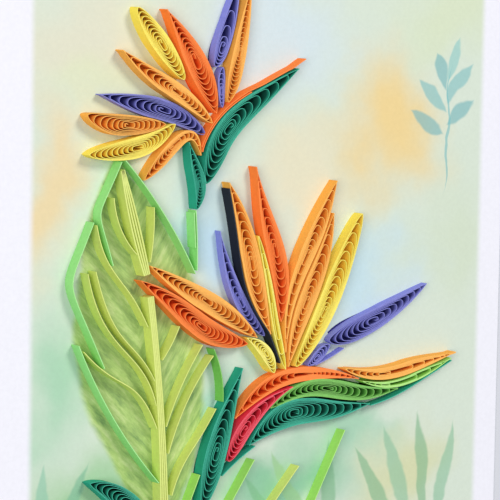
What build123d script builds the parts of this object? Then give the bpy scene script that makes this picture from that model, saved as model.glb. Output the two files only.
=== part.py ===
# Quilled paper art: two bird of paradise flowers and a large leaf on a square card.
#
# Petals and bracts are loose coils of paper strip, pinched to a point at one or both ends.
# Stems, the leaf outline, its midrib and its veins are single strips bent by hand.
# Every strip stands on its long edge on the card.
#
# Millimetres. The card lies flat with its face up (+Z), the top of the picture towards +Y.
# The origin is at the centre of the card's underside.
import math
import os

from build123d import *

# driving dimensions
card_size = 152.4  # six inch square panel
card_thickness = 0.5
strip_height = 3.2  # eighth of an inch quilling paper
low_strip_height = 2.2  # the purple paper is cut narrower
paper_thickness = 0.2
turn_gap = 0.12  # air between two turns along the sides of a coil
layer_gap = 0.25  # air between strips laid side by side
edge_gap = 0.2  # air between a strip and the coil that it runs along
pinch_width = 0.24  # half the width of a pinched end, where the layers are pressed together
nose_radius = 0.9  # how round the ends of the inner turns are
end_clearance = 0.8  # no bend comes nearer than this to the end of a turn

# where along a coil the paper's outer end is glued down, as a share of the coil's length
glued_end = 0.5
# a turn is wound as two legs, one along each side, and half a turn is left as the core
half_turn = 0.5
# how many turns must have room beside each other where a turn bends back, at each end
heel_room = 0.75
tip_room = 0.5

# how finely the paper is bent and measured
coil_stations = 7
strip_stations = 8
length_steps = 24
end_step = 0.01  # steps in which the end of a turn is moved in until it has room
tightest_mitre = 0.01  # keeps the corner of a hairpin bend from running away

card_top = card_thickness
turn_pitch = paper_thickness + turn_gap
layer_pitch = paper_thickness + layer_gap


# Each coil runs from its heel to its tip. The bow is how far its middle stands off the
# straight line between them, to the left of the way from heel to tip, and the sway bends it
# into an S. Bends are the two control points of a cubic curve and take their place. The belly
# is where the coil is widest, as a share of its length, and the core is where the middle of
# the spiral sits. A sharp value under 1 gives a round end, over 1 a long point.
def coil(heel, tip, width, bow=0.0, sway=0.0, belly=0.45, heel_sharp=0.8, tip_sharp=0.8,
         core=0.45, turns=4, height=strip_height, bends=None):
    return dict(heel=heel, tip=tip, width=width, bow=bow, sway=sway, belly=belly,
                heel_sharp=heel_sharp, tip_sharp=tip_sharp, core=core, turns=turns,
                height=height, bends=bends)


def strip(start, end, bow=0.0, sway=0.0, height=strip_height, bends=None):
    return dict(heel=start, tip=end, bow=bow, sway=sway, height=height, bends=bends)


upper_flower = {
    "upper_yellow_petal": coil((-26.1, 41.2), (-39.5, 57.9), width=5.2, belly=0.5,
                               heel_sharp=0.5, tip_sharp=0.5, core=0.5),
    "upper_red_petal": coil((-16.7, 33.1), (-31.3, 57.4), width=6.6, bow=-1.0, belly=0.35,
                            tip_sharp=1.1, core=0.53),
    "upper_orange_petal": coil((-17.9, 30.8), (-43.5, 48.1), width=4.2, bow=-0.3, sway=-0.4,
                               belly=0.44, heel_sharp=0.55, tip_sharp=0.9),
    "upper_purple_petal": coil((-16.5, 44.0), (-9.3, 66.5), width=4.4, bow=-0.6, belly=0.2,
                               heel_sharp=0.5, tip_sharp=1.2, core=0.25,
                               height=low_strip_height),
    "upper_right_petal": coil((-13.2, 35.6), (-7.0, 63.3), width=4.2, bow=-0.4, belly=0.26,
                              heel_sharp=0.65, tip_sharp=0.85, core=0.44),
    "upper_purple_bud": coil((-14.3, 34.4), (-14.3, 43.8), width=2.3, bow=0.4, belly=0.54,
                             heel_sharp=0.5, tip_sharp=0.5, core=0.43, turns=2,
                             height=low_strip_height),
    "left_purple_petal": coil((-19.3, 28.1), (-48.9, 38.0), width=5.2, bow=-1.7, sway=-0.4,
                              belly=0.47, heel_sharp=0.5, tip_sharp=1.0, core=0.42,
                              height=low_strip_height),
    "left_orange_petal": coil((-31.3, 30.8), (-53.1, 33.5), width=5.0, bow=1.3, sway=-0.2,
                              belly=0.56, heel_sharp=0.6, tip_sharp=0.55, core=0.46),
    "left_yellow_petal": coil((-52.5, 24.4), (-28.6, 30.8), width=5.1, bow=-2.1, sway=0.4,
                              belly=0.52, heel_sharp=0.55, tip_sharp=0.6, core=0.56),
    "left_hook_petal": coil((-21.1, 23.3), (-37.1, 18.0), width=3.2, belly=0.75,
                            bends=((-23.0, 33.3), (-28.9, 25.5)), heel_sharp=0.6,
                            tip_sharp=0.7, core=0.62, turns=2),
    "upper_bract": coil((-19.2, 16.6), (7.7, 43.2), width=6.9, bow=4.4, sway=1.0, belly=0.21,
                        heel_sharp=0.65, tip_sharp=0.9, core=0.37),
    "upper_stem_head": coil((-22.0, 10.6), (-24.5, 26.4), width=3.4, bow=-1.5, sway=-0.4,
                            belly=0.37, heel_sharp=0.65, tip_sharp=1.1, core=0.4, turns=3),
}

lower_flower = {
    "lower_orange_petal": coil((0.4, -20.5), (-12.6, 16.5), width=5.8, bow=-0.2, sway=0.6,
                               belly=0.41, heel_sharp=0.95, tip_sharp=0.85, core=0.49),
    "lower_red_petal": coil((3.5, -17.6), (-4.7, 20.0), width=5.6, bow=-1.5, sway=-0.7,
                            belly=0.37, heel_sharp=0.7, tip_sharp=1.3, core=0.46),
    "lower_lime_petal": coil((5.1, -29.4), (-3.7, 3.4), width=2.2, sway=0.3, belly=0.25,
                             heel_sharp=0.5, tip_sharp=0.5, core=0.5, turns=1),
    "lower_orange_pair_left": coil((5.1, -25.2), (20.0, 15.8), width=4.6, bow=2.6, sway=0.9,
                                   belly=0.64, heel_sharp=0.9, tip_sharp=0.9, core=0.57),
    "lower_orange_pair_right": coil((6.0, -28.8), (19.2, 7.9), width=5.4, sway=0.7,
                                    belly=0.44, heel_sharp=0.9, core=0.43),
    "lower_yellow_petal": coil((8.3, -28.9), (28.2, 7.4), width=6.4, bow=-1.2, sway=-0.2,
                               belly=0.46, heel_sharp=0.5, tip_sharp=0.6, core=0.42),
    "right_purple_petal": coil((19.3, -23.4), (50.1, -11.2), width=6.1, bow=-1.3, belly=0.24,
                               heel_sharp=0.5, core=0.43, height=low_strip_height),
    "right_purple_bud": coil((12.8, -29.2), (19.5, -24.4), width=3.1, belly=0.5,
                             heel_sharp=0.6, tip_sharp=0.65, core=0.43, turns=2,
                             height=low_strip_height),
    "lower_purple_petal": coil((-0.7, -20.9), (-14.4, 5.0), width=3.6, bow=2.4, sway=0.2,
                               belly=0.35, heel_sharp=0.5, tip_sharp=1.2, core=0.43,
                               height=low_strip_height),
    "lower_left_orange_petal": coil((-3.7, -21.0), (-35.0, -2.2), width=5.3, bow=-0.5,
                                    sway=-0.2, belly=0.4, heel_sharp=0.7, core=0.51),
    "lower_left_red_petal": coil((-6.5, -22.4), (-37.6, -5.5), width=6.0, bow=1.7, sway=0.8,
                                 belly=0.35, heel_sharp=0.65, core=0.41),
    "lime_bud": coil((1.6, -30.0), (-6.6, -21.0), width=3.5, bow=-1.5, belly=0.38,
                     heel_sharp=0.5, core=0.46, turns=3),
}

lower_bract = {
    "bract_red_coil": coil((-9.8, -40.1), (27.9, -33.4), width=4.1, bow=5.8, sway=0.6,
                           belly=0.32, core=0.5, turns=3),
    "bract_orange_coil": coil((23.8, -30.7), (59.4, -29.1), width=3.4, bow=-2.3, sway=-0.6,
                              belly=0.49, heel_sharp=0.5, tip_sharp=1.1, core=0.35, turns=3),
    "bract_bright_green_coil": coil((29.4, -34.2), (57.9, -30.5), width=2.1, bow=-2.6,
                                    sway=-0.4, belly=0.6, heel_sharp=0.5, tip_sharp=1.2,
                                    core=0.41, turns=1),
    "bract_green_coil": coil((0.8, -38.5), (40.6, -36.9), width=4.7, bow=2.3, sway=1.6,
                             belly=0.48, heel_sharp=0.65, tip_sharp=0.9, core=0.46),
    "bract_teal_coil": coil((-5.5, -47.0), (31.6, -40.0), width=6.8, bow=3.5, sway=1.4,
                            belly=0.33, heel_sharp=0.9, tip_sharp=0.95, core=0.4),
    "bract_pink_coil": coil((-11.7, -50.3), (7.5, -33.9), width=4.6, bow=2.8, belly=0.23,
                            heel_sharp=0.5, tip_sharp=1.1, core=0.34),
    "lower_stem": coil((-19.3, -61.6), (-7.8, -28.2), width=6.7, bow=0.8, belly=0.33,
                       heel_sharp=0.75, tip_sharp=1.1, core=0.41),
    "bottom_teal_coil": coil((-31.5, -64.9), (-51.5, -51.9), width=7.0, bow=-0.8, sway=0.6,
                             belly=0.3, tip_sharp=0.7, core=0.46),
}

coils = {**upper_flower, **lower_flower, **lower_bract}

leaf_strips = {
    "leaf_edge_top_left": strip((-43.5, 22.5), (-45.6, -1.5),
                                bends=((-50.9, 7.4), (-50.6, 14.3))),
    "leaf_edge_left": strip((-51.1, 8.8), (-47.7, -25.3),
                            bends=((-59.0, -9.2), (-59.2, -1.1))),
    "leaf_edge_lower_left": strip((-54.9, -19.5), (-32.0, -53.6), bow=-1.7),
    "leaf_edge_right": strip((-42.4, 22.7), (-22.2, -4.6), bow=1.2),
    "leaf_edge_low_right": strip((-16.5, -22.9), (-13.6, -35.8), bow=0.9),
    "leaf_edge_bottom_right": strip((-15.6, -37.3), (-28.2, -57.0), bow=-0.8, sway=0.4),
    "left_vein_1": strip((-45.6, 14.2), (-39.0, 0.8), bow=-1.4),
    "left_vein_2": strip((-50.3, 8.1), (-35.6, -16.4), bow=-1.1, sway=-0.8),
    "left_vein_3": strip((-52.6, -3.0), (-33.0, -35.2),
                         bends=((-48.4, -22.6), (-36.7, -21.0))),
    "left_vein_4": strip((-50.4, -2.6), (-33.5, -29.3),
                         bends=((-45.2, -21.4), (-39.2, -18.6))),
    "left_vein_5": strip((-53.5, -21.0), (-32.7, -40.7),
                         bends=((-43.2, -31.7), (-38.7, -26.8))),
    "right_vein_1": strip((-34.3, 11.6), (-35.2, -1.2), bow=0.4),
    "right_vein_2": strip((-26.6, -16.8), (-31.4, -24.5), bow=0.3),
    "right_vein_3": strip((-19.8, -21.7), (-30.0, -40.4), bow=-0.8),
    "right_vein_4": strip((-16.6, -24.5), (-29.3, -46.9), bow=-1.4),
}

flower_strips = {
    "purple_tail": strip((15.1, -29.2), (23.9, -25.7), bow=-0.2, height=low_strip_height),
    "bract_tail_left": strip((-3.8, -47.4), (-13.5, -53.7), bow=-0.3),
    "bract_tail_right": strip((32.2, -40.9), (58.1, -31.1), bow=-1.0, sway=-0.2),
    "grass_strip_1": strip((-20.1, -52.8), (-24.4, -62.4)),
    "grass_strip_2": strip((23.9, -45.9), (14.0, -64.0)),
    "grass_strip_3": strip((9.7, -53.5), (0.2, -64.0)),
    "grass_strip_4": strip((-3.9, -50.7), (-12.7, -63.4)),
}

strips = {**leaf_strips, **flower_strips}

# strips laid side by side in one bundle: the first strip, how many there are, and how far
# the bundle has spread where it starts, halfway along and where it ends
bundles = {
    "upper_midrib": dict(first=strip((-42.9, 20.6), (-35.4, -4.0), bow=0.4), count=4,
                         spread=(0.5, 1.5, 1.0)),
    "lower_midrib": dict(first=strip((-34.3, -9.2), (-29.3, -62.0), bow=0.7), count=4,
                         spread=(1.0, 1.0, 1.4)),
}

# the two strips of the upper stem, the long one and the short one at its left
stem_strips = [strip((-22.3, 10.4), (-21.7, -3.9), bow=0.2), strip((-24.7, 9.5), (-24.7, 1.5))]

# Strips that run along the left side of a coil, from one share of its length to another, next
# to the coil for layer 0 and one layer out for each further one. Towards its end a strip leaves
# the coil by the lift, or closes up to the middle line where the lift is negative.
edge_strips = {
    "bract_edge_strip": [dict(coil="upper_bract", start=0.17, end=1.07, layer=1, lift=0.5),
                         dict(coil="upper_bract", start=0.15, end=0.62, layer=0, lift=0.0)],
    "dark_edge_strip": [dict(coil="lower_orange_petal", start=0.97, end=-0.2, layer=0,
                             lift=-0.6)],
}


# a point on the middle line of a piece, and the unit vector that points to its left
def middle_line(piece, t):
    heel = Vector(*piece["heel"])
    tip = Vector(*piece["tip"])
    if piece["bends"]:
        first, second = (Vector(*bend) for bend in piece["bends"])
        s = 1 - t
        point = heel * s**3 + first * (3 * s * s * t) + second * (3 * s * t * t) + tip * t**3
        along = ((first - heel) * (s * s) + (second - first) * (2 * s * t)
                 + (tip - second) * (t * t))
    else:
        run = tip - heel
        across = Vector(-run.Y, run.X) / run.length
        turn = 2 * math.pi
        offset = piece["bow"] * 4 * t * (1 - t) + piece["sway"] * math.sin(turn * t)
        slope = piece["bow"] * 4 * (1 - 2 * t) + piece["sway"] * turn * math.cos(turn * t)
        point = heel + run * t + across * offset
        along = run + across * slope
    return point, Vector(-along.Y, along.X) / along.length


def middle_length(piece):
    points = [middle_line(piece, i / length_steps)[0] for i in range(length_steps + 1)]
    return sum((b - a).length for a, b in zip(points, points[1:]))


# half the width of a coil's outline
def half_width(piece, t):
    if t < piece["belly"]:
        reach, sharp = t / piece["belly"], piece["heel_sharp"]
    else:
        reach, sharp = (1 - t) / (1 - piece["belly"]), piece["tip_sharp"]
    return piece["width"] / 2 * max(math.sin(math.pi / 2 * reach), 0) ** sharp


# shares of the length where a coil's sides are bent, closer together near its ends
def bend_places(count):
    return [(1 - math.cos(math.pi * i / (count + 1))) / 2 for i in range(1, count + 1)]


# The outer face of a coil's paper, from its glued end to its core. The first turn goes round
# the whole outline. Each later turn lies against the one outside it along the sides and turns
# back sooner at both ends, so the ends make the nested arcs that a pinched coil shows.
def coil_path(piece):
    length = middle_length(piece)
    turns = piece["turns"]
    core = piece["core"]
    places = bend_places(coil_stations)
    path = []

    def low_end(turn):
        t = core * turn / (turns + half_turn)
        room = turn_pitch * (turn + heel_room) + pinch_width
        while turn and t < core and half_width(piece, t) < room:
            t += end_step
        return t

    def high_end(turn):
        t = 1 - (1 - core) * turn / (turns + half_turn)
        room = turn_pitch * (turn + tip_room) + pinch_width
        while turn and t > core and half_width(piece, t) < room:
            t -= end_step
        return t

    def nose(distance):
        return math.sqrt(2 * nose_radius * max(distance, 0) * length)

    def add_point(t, lateral):
        point, left = middle_line(piece, t)
        path.append(point + left * lateral)

    wound = 0.0
    side = 1
    for leg in range(2 * turns + 1):
        to_tip = leg % 2 == 0
        high = leg // 2
        low = max(leg - 1, 0) // 2
        begin, finish = low_end(low), high_end(high)
        if not to_tip:
            begin, finish = finish, begin
        share = half_turn
        if leg == 0:
            begin, share = glued_end, half_turn * (1 - glued_end)
            add_point(begin, half_width(piece, begin))
        clear = end_clearance / length
        first, last = min(begin, finish) + clear, max(begin, finish) - clear
        inside = [t for t in places if first < t < last]
        for t in inside if to_tip else reversed(inside):
            turned = wound + share * (t - begin) / (finish - begin)
            room = half_width(piece, t) - turn_pitch * turned
            if low:
                room = min(room, nose(t - low_end(low)))
            if high:
                room = min(room, nose(high_end(high) - t))
            add_point(t, side * max(room, pinch_width))
        add_point(finish, 0)
        wound += share
        side = -side
    return path


def strip_path(piece):
    return [middle_line(piece, i / strip_stations)[0] for i in range(strip_stations + 1)]


def bundle_paths(bundle):
    first = bundle["first"]
    start, middle, end = bundle["spread"]
    paths = []
    for layer in range(bundle["count"]):
        step = layer * layer_pitch
        path = []
        for i in range(strip_stations + 1):
            t = i / strip_stations
            spread = (start * (1 - t) * (1 - 2 * t) + middle * 4 * t * (1 - t)
                      + end * t * (2 * t - 1))
            point, left = middle_line(first, t)
            path.append(point - left * step * spread)
        paths.append(path)
    return paths


def edge_path(edge):
    piece = coils[edge["coil"]]
    start, end = edge["start"], edge["end"]
    clearance = edge_gap + paper_thickness + edge["layer"] * layer_pitch
    between = [t for t in bend_places(coil_stations) if min(start, end) < t < max(start, end)]
    if start > end:
        between.reverse()
    path = []
    for t in [start, *between, end]:
        point, left = middle_line(piece, t)
        lift = edge["lift"] * ((t - start) / (end - start)) ** 4
        aside = max(half_width(piece, t), pinch_width) + clearance + lift
        path.append(point + left * aside)
    return path


# the path moved sideways, to the right of its own direction for a positive distance
def beside(path, distance):
    moved = []
    for i, point in enumerate(path):
        near = path[max(i - 1, 0):i + 2]
        rights = [Vector(b.Y - a.Y, a.X - b.X) / (b - a).length for a, b in zip(near, near[1:])]
        right = sum(rights, Vector(0, 0)) / len(rights)
        moved.append(point + right * (distance / max(right.length**2, tightest_mitre)))
    return moved


# the edge of a piece of paper that stands on the card, between its two faces
def paper_edge(face_one, face_two):
    with BuildSketch(Plane.XY.offset(card_top)) as edge:
        with BuildLine():
            Polyline(*face_one, *reversed(face_two), close=True)
        make_face()
    return edge.sketch


def save(name, piece):
    piece.part.label = name
    export_step(piece.part, f"parts/{name}.step")


os.makedirs("parts", exist_ok=True)

with BuildPart() as backing_card:
    Box(card_size, card_size, card_thickness, align=(Align.CENTER, Align.CENTER, Align.MIN))
save("backing_card", backing_card)

for name, piece in coils.items():
    path = coil_path(piece)
    with BuildPart() as paper_coil:
        extrude(paper_edge(path, beside(path, paper_thickness)), amount=piece["height"])
    save(name, paper_coil)

strip_paths = {name: [strip_path(piece)] for name, piece in strips.items()}
strip_paths.update({name: bundle_paths(bundle) for name, bundle in bundles.items()})
strip_paths.update({name: [edge_path(edge) for edge in edges]
                    for name, edges in edge_strips.items()})
strip_paths["upper_stem"] = [strip_path(piece) for piece in stem_strips]

for name, paths in strip_paths.items():
    height = strips[name]["height"] if name in strips else strip_height
    with BuildPart() as paper_strip:
        for path in paths:
            faces = beside(path, -paper_thickness / 2), beside(path, paper_thickness / 2)
            extrude(paper_edge(*faces), amount=height)
    save(name, paper_strip)
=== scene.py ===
# Quilled paper art: two bird of paradise flowers and a leaf, made of paper strips that stand
# on edge on a printed card. The scene is in metres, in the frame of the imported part: the card
# lies face up with its underside at z = 0. Places on the card are written in millimetres.
import math
import random

import bpy
from mathutils import Matrix, Vector


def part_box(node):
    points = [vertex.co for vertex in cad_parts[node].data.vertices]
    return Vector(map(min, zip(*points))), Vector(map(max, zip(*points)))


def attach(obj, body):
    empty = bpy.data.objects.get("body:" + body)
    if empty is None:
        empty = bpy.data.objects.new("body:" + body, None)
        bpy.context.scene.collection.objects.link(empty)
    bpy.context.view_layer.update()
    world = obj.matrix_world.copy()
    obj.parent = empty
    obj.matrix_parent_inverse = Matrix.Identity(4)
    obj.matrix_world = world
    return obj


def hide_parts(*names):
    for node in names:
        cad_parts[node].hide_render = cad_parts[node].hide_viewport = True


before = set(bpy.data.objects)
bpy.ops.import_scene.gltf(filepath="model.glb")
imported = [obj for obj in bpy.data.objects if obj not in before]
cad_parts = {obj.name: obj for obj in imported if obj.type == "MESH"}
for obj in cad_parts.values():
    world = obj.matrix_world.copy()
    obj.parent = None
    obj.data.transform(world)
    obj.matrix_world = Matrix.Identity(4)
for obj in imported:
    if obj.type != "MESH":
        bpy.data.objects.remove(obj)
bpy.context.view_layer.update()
mm = 0.001

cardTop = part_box("backing_card")[1].z / mm
print("frame loaded: card", round(cardTop, 2), "mm thick")


# sRGB hex to the linear colour that a socket takes
def fromHex(code):
    channels = [int(code[i:i + 2], 16) / 255 for i in (0, 2, 4)]
    return (*[c / 12.92 if c <= 0.04045 else ((c + 0.055) / 1.055) ** 2.4 for c in channels], 1)


# Adds a node with its settings, and links each input or gives it its value.
def addNode(tree, kind, inputs=None, **settings):
    node = tree.nodes.new(kind)
    for setting, value in settings.items():
        setattr(node, setting, value)
    for socket, value in (inputs or {}).items():
        if isinstance(value, bpy.types.NodeSocket):
            tree.links.new(value, node.inputs[socket])
        else:
            node.inputs[socket].default_value = value
    return node


# Materials

noiseRange = {"From Min": 0.3, "From Max": 0.7}  # where most of a noise texture's values lie
levelRange = {"From Min": 0.5, "From Max": 0.9}  # a normal's Z, from a steep face to a level one

# Dyed quilling paper: matte and slightly fibrous. The wall is the paper's face and the edge is
# its cut edge, which shows from above; the edge colour is the cut edge's paler tone, lightened
# further as a painted highlight where the tops catch the light. The ground is a deep tone of the
# same colour: painted shade down in the hollows, and the print on the card under a coil, made
# that dark to paint the shade deep inside the coil.
paperColours = {
    "yellow_paper": dict(wall="FAE65A", edge="FFF070", ground="F8C63C"),
    "orange_paper": dict(wall="FFB44C", edge="FFBC60", ground="F08E28"),
    "red_orange_paper": dict(wall="FF883A", edge="FF8E48", ground="F05A16"),
    "purple_paper": dict(wall="888CE0", edge="8C90DC", ground="24246E"),
    "teal_paper": dict(wall="24A286", edge="4ABCA0", ground="063E34"),
    "lime_paper": dict(wall="FCF264", edge="FEF688", ground="F0D648"),
    "bright_green_paper": dict(wall="A8E66C", edge="B6EE8A", ground="84C648"),
    "mid_green_paper": dict(wall="78C65A", edge="88CE6C", ground="307A22"),
    "light_green_paper": dict(wall="98E286", edge="AEEE9C", ground="3C8A34"),
    "yellow_green_paper": dict(wall="D6E47A", edge="DCEA88", ground="6E8A24"),
    "pink_paper": dict(wall="EE3A50", edge="F86878", ground="C81630"),
    "black_paper": dict(wall="1E2430", edge="343C4A", ground="10141C"),
}
paperFinish = {
    "roughness": 0.82,
    "specular": 0.25,
    "fibreLength": 0.9,  # mm, drawn coarser than real fibres so that they show
    "toothSize": 0.25,  # mm, the grain of the uncoated face
    "toothHeight": 0.02,  # mm
    "toothStrength": 0.6,
    "mottle": 0.04,  # share by which the tone varies along the fibres
    # The hollow shade is painted: below the top of an inner turn, and of an outer face that looks
    # into the coil, the wall darkens towards the ground colour.
    "hollowShadeDepth": 1.3,  # mm below the top, where a hollow has its deep tone
    "hollowShade": 0.8,  # share of that tone
    "facesIn": 0.1,  # how far a face of the outermost turn looks inwards to have that tone
    "turnShade": 0.05,  # how much one turn may differ from the next
}


def dyedPaper(slot):
    wall, edge, ground = (fromHex(paperColours[slot][part]) for part in ("wall", "edge", "ground"))
    first, *others = slot.removesuffix("_paper").split("_")
    shadeName = first + "".join(word.capitalize() for word in others)
    material = bpy.data.materials.new(shadeName + "QuillingPaper")
    material.use_nodes = True
    tree = material.node_tree
    tree.nodes.clear()
    place = addNode(tree, "ShaderNodeTexCoord").outputs["Object"]
    fibres = addNode(tree, "ShaderNodeTexNoise", {
        "Vector": place, "Scale": 1 / (paperFinish["fibreLength"] * mm), "Detail": 3.0})
    tooth = addNode(tree, "ShaderNodeTexNoise", {
        "Vector": place, "Scale": 1 / (paperFinish["toothSize"] * mm), "Detail": 2.0})
    normal = addNode(tree, "ShaderNodeNewGeometry").outputs["Normal"]
    upward = addNode(tree, "ShaderNodeSeparateXYZ", {"Vector": normal}).outputs["Z"]
    # Level faces, the cut edges on top, take the edge colour, which carries a painted highlight.
    isHighlitEdge = addNode(tree, "ShaderNodeMapRange", {"Value": upward, **levelRange})
    # Painted shade in the hollows: the walls of the inner turns, and those faces of the outermost
    # turn that look inwards, darken towards the ground colour with depth below the top.
    belowTop = addNode(tree, "ShaderNodeAttribute", attribute_name="belowTop")
    shadeByDepth = addNode(tree, "ShaderNodeMapRange", {
        "Value": belowTop.outputs["Fac"], "From Max": paperFinish["hollowShadeDepth"] * mm,
        "To Max": paperFinish["hollowShade"]}, interpolation_type="SMOOTHSTEP")
    inner = addNode(tree, "ShaderNodeAttribute", attribute_name="innerTurn")
    inward = addNode(tree, "ShaderNodeAttribute", attribute_name="inward")
    facing = addNode(tree, "ShaderNodeVectorMath", {
        0: inward.outputs["Vector"], 1: normal}, operation="DOT_PRODUCT")
    facesIn = addNode(tree, "ShaderNodeMath", {
        0: facing.outputs["Value"], 1: paperFinish["facesIn"]}, operation="GREATER_THAN")
    inside = addNode(tree, "ShaderNodeMath", {
        0: inner.outputs["Fac"], 1: facesIn.outputs[0]}, operation="MAXIMUM")
    tone = addNode(tree, "ShaderNodeMath", {
        0: shadeByDepth.outputs["Result"], 1: inside.outputs[0]}, operation="MULTIPLY")
    standing = addNode(tree, "ShaderNodeMix", {
        "Factor": tone.outputs[0], "A": wall, "B": ground}, data_type="RGBA")
    colour = addNode(tree, "ShaderNodeMix", {
        "Factor": isHighlitEdge.outputs["Result"], "A": standing.outputs["Result"], "B": edge},
        data_type="RGBA")
    mottle = addNode(tree, "ShaderNodeMapRange", {
        "Value": fibres.outputs["Fac"], **noiseRange,
        "To Min": 1 - paperFinish["mottle"], "To Max": 1 + paperFinish["mottle"]})
    # Faces marked as ground take the ground colour: the print under the coil, made dark as painted
    # shade inside it.
    onGround = addNode(tree, "ShaderNodeAttribute", attribute_name="groundTone")
    printed = addNode(tree, "ShaderNodeMix", {
        "Factor": onGround.outputs["Fac"], "A": colour.outputs["Result"], "B": ground},
        data_type="RGBA")
    turn = addNode(tree, "ShaderNodeAttribute", attribute_name="turnShade")
    turnValue = addNode(tree, "ShaderNodeMapRange", {
        "Value": turn.outputs["Fac"], "To Min": 1 - paperFinish["turnShade"], "To Max": 1.0})
    value = addNode(tree, "ShaderNodeMath", {
        0: mottle.outputs["Result"], 1: turnValue.outputs["Result"]}, operation="MULTIPLY")
    shaded = addNode(tree, "ShaderNodeHueSaturation", {
        "Color": printed.outputs["Result"], "Value": value.outputs[0]})
    bump = addNode(tree, "ShaderNodeBump", {
        "Height": tooth.outputs["Fac"], "Strength": paperFinish["toothStrength"],
        "Distance": paperFinish["toothHeight"] * mm})
    shader = addNode(tree, "ShaderNodeBsdfPrincipled", {
        "Base Color": shaded.outputs["Color"], "Roughness": paperFinish["roughness"],
        "Specular IOR Level": paperFinish["specular"], "Normal": bump.outputs["Normal"]})
    addNode(tree, "ShaderNodeOutputMaterial", {"Surface": shader.outputs["BSDF"]})
    return material


papers = {slot: dyedPaper(slot) for slot in paperColours}
print("paper materials ready")


# White card stock with a matte print. The washes are soft, as watercolour printed on card is,
# and the motifs are plain leaves: a broad one under the quilled leaf, a sprig and some blades.
cardPrint = {
    "left": -66.0,  # mm, where the print begins
    "right": 69.0,  # mm, where it ends
    "fade": 2.4,  # mm, over which it fades into the bare card
    "stock": "ECEEF8",
    "ground": "D2E0D2",
    "washEnd": 1.25,  # where a wash has faded out, as a share of its size
    "washHeart": 0.15,  # up to where it keeps its full strength
    "washHeight": 1e6,  # mm, so great that a wash is the same at every height
    "washWander": 40.0,  # mm, the range in which a wash's edge wanders
    "leafWander": 10.0,  # mm, the same for a leaf's edge
    "wanderSize": 26.0,  # mm, from one such bend of an edge to the next
    "leafFade": 0.35,  # share of a leaf's half width over which it fades out
    "leafStrength": 0.7,
    "grainSize": 0.9,  # mm
    "grain": 0.018,  # share by which the tone varies
    "roughness": 0.6,
    "specular": 0.3,
}
washes = [
    dict(at=(-48, 50), size=(26, 20), colour="DCDCC6", strength=0.9),
    dict(at=(-60, 16), size=(12, 20), colour="E8D2A0", strength=0.85),
    dict(at=(-36, 36), size=(22, 14), colour="DAE2B8", strength=0.7),
    dict(at=(2, 52), size=(26, 18), colour="CFE0E8", strength=0.9),
    dict(at=(38, 30), size=(20, 24), colour="ECCE86", strength=0.85),
    dict(at=(12, 18), size=(16, 18), colour="E8DCB8", strength=0.6),
    dict(at=(58, 58), size=(20, 16), colour="D2DFC0", strength=0.8),
    dict(at=(30, -8), size=(24, 14), colour="BEDCEA", strength=0.85),
    dict(at=(60, 0), size=(12, 24), colour="CDDCC6", strength=0.8),
    dict(at=(-16, 2), size=(12, 16), colour="B8D8EA", strength=0.85),
    dict(at=(-60, -28), size=(14, 24), colour="A0D0B0", strength=0.85),
    dict(at=(-52, -62), size=(26, 14), colour="92C690", strength=0.85),
    dict(at=(6, -58), size=(34, 12), colour="82C09C", strength=0.9),
    dict(at=(-14, -38), size=(12, 12), colour="7CC4B0", strength=0.85),
    dict(at=(-2, -26), size=(14, 10), colour="A4D4C8", strength=0.7),
    dict(at=(26, -46), size=(20, 8), colour="98CCAE", strength=0.75),
    dict(at=(48, -56), size=(18, 14), colour="D0D4A4", strength=0.8),
]
# Each leaf is an almond from its foot to its tip, so wide at its middle. The broad one is
# mottled in streaks that slant away from its rib on both sides. Its mottling is a noise, which
# is the leaf's own colour, dark or pale at the values given.
broadLeaf = dict(foot=(-28, -70), tip=(-43, 26), width=38, fade=0.12, strength=0.9,
                 colour="A4C468", dark="6E9448", pale="CEDF98",
                 mottleSize=2.2, mottleRoughness=0.7, streak=(4.5, 1.0, 1.0),
                 slant=math.radians(38), plainAt=0.5, darkAt=0.32, paleAt=0.7)
printedLeaves = [
    dict(foot=(57, 26), tip=(45, 33), width=4.6, colour="6FB3B8"),
    dict(foot=(58, 31), tip=(49, 41), width=4.4, colour="7DBDBF"),
    dict(foot=(59, 36), tip=(54, 48), width=4.2, colour="6FB3B8"),
    dict(foot=(59, 38), tip=(62, 50), width=4.0, colour="8CC7C4"),
    dict(foot=(58, 33), tip=(66, 43), width=4.2, colour="7DBDBF"),
    dict(foot=(57, 28), tip=(67, 34), width=4.4, colour="6FB3B8"),
    dict(foot=(56, 10), tip=(60, 44), width=0.9, colour="7DBDBF"),
    dict(foot=(14, -80), tip=(-6, -54), width=5.0, colour="7DB88C"),
    dict(foot=(18, -78), tip=(4, -48), width=5.4, colour="96C48E"),
    dict(foot=(24, -78), tip=(20, -47), width=5.2, colour="7FB58C"),
    dict(foot=(46, -74), tip=(30, -50), width=4.6, colour="7FB58C"),
    dict(foot=(50, -74), tip=(38, -45), width=5.0, colour="8CC0A0"),
    dict(foot=(54, -74), tip=(50, -42), width=5.2, colour="7FB58C"),
    dict(foot=(58, -74), tip=(62, -46), width=5.0, colour="8CC0A0"),
    dict(foot=(-62, -74), tip=(-50, -48), width=5.2, colour="7DB898"),
    dict(foot=(-58, -76), tip=(-40, -58), width=5.0, colour="8CC3A8"),
    dict(foot=(-66, -72), tip=(-61, -46), width=4.8, colour="8CC3A8"),
]


# a place on the card as a leaf has it: X along its rib and Y across it, from its middle
def onLeaf(tree, place, leaf, unit=(1, 1, 1)):
    foot, tip = Vector(leaf["foot"]), Vector(leaf["tip"])
    run = tip - foot
    local = addNode(tree, "ShaderNodeMapping", {
        "Vector": place, "Location": (*((foot + tip) / 2), 0),
        "Rotation": (0, 0, math.atan2(run.y, run.x)), "Scale": unit}, vector_type="TEXTURE")
    return addNode(tree, "ShaderNodeSeparateXYZ", {"Vector": local.outputs[0]})


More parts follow.
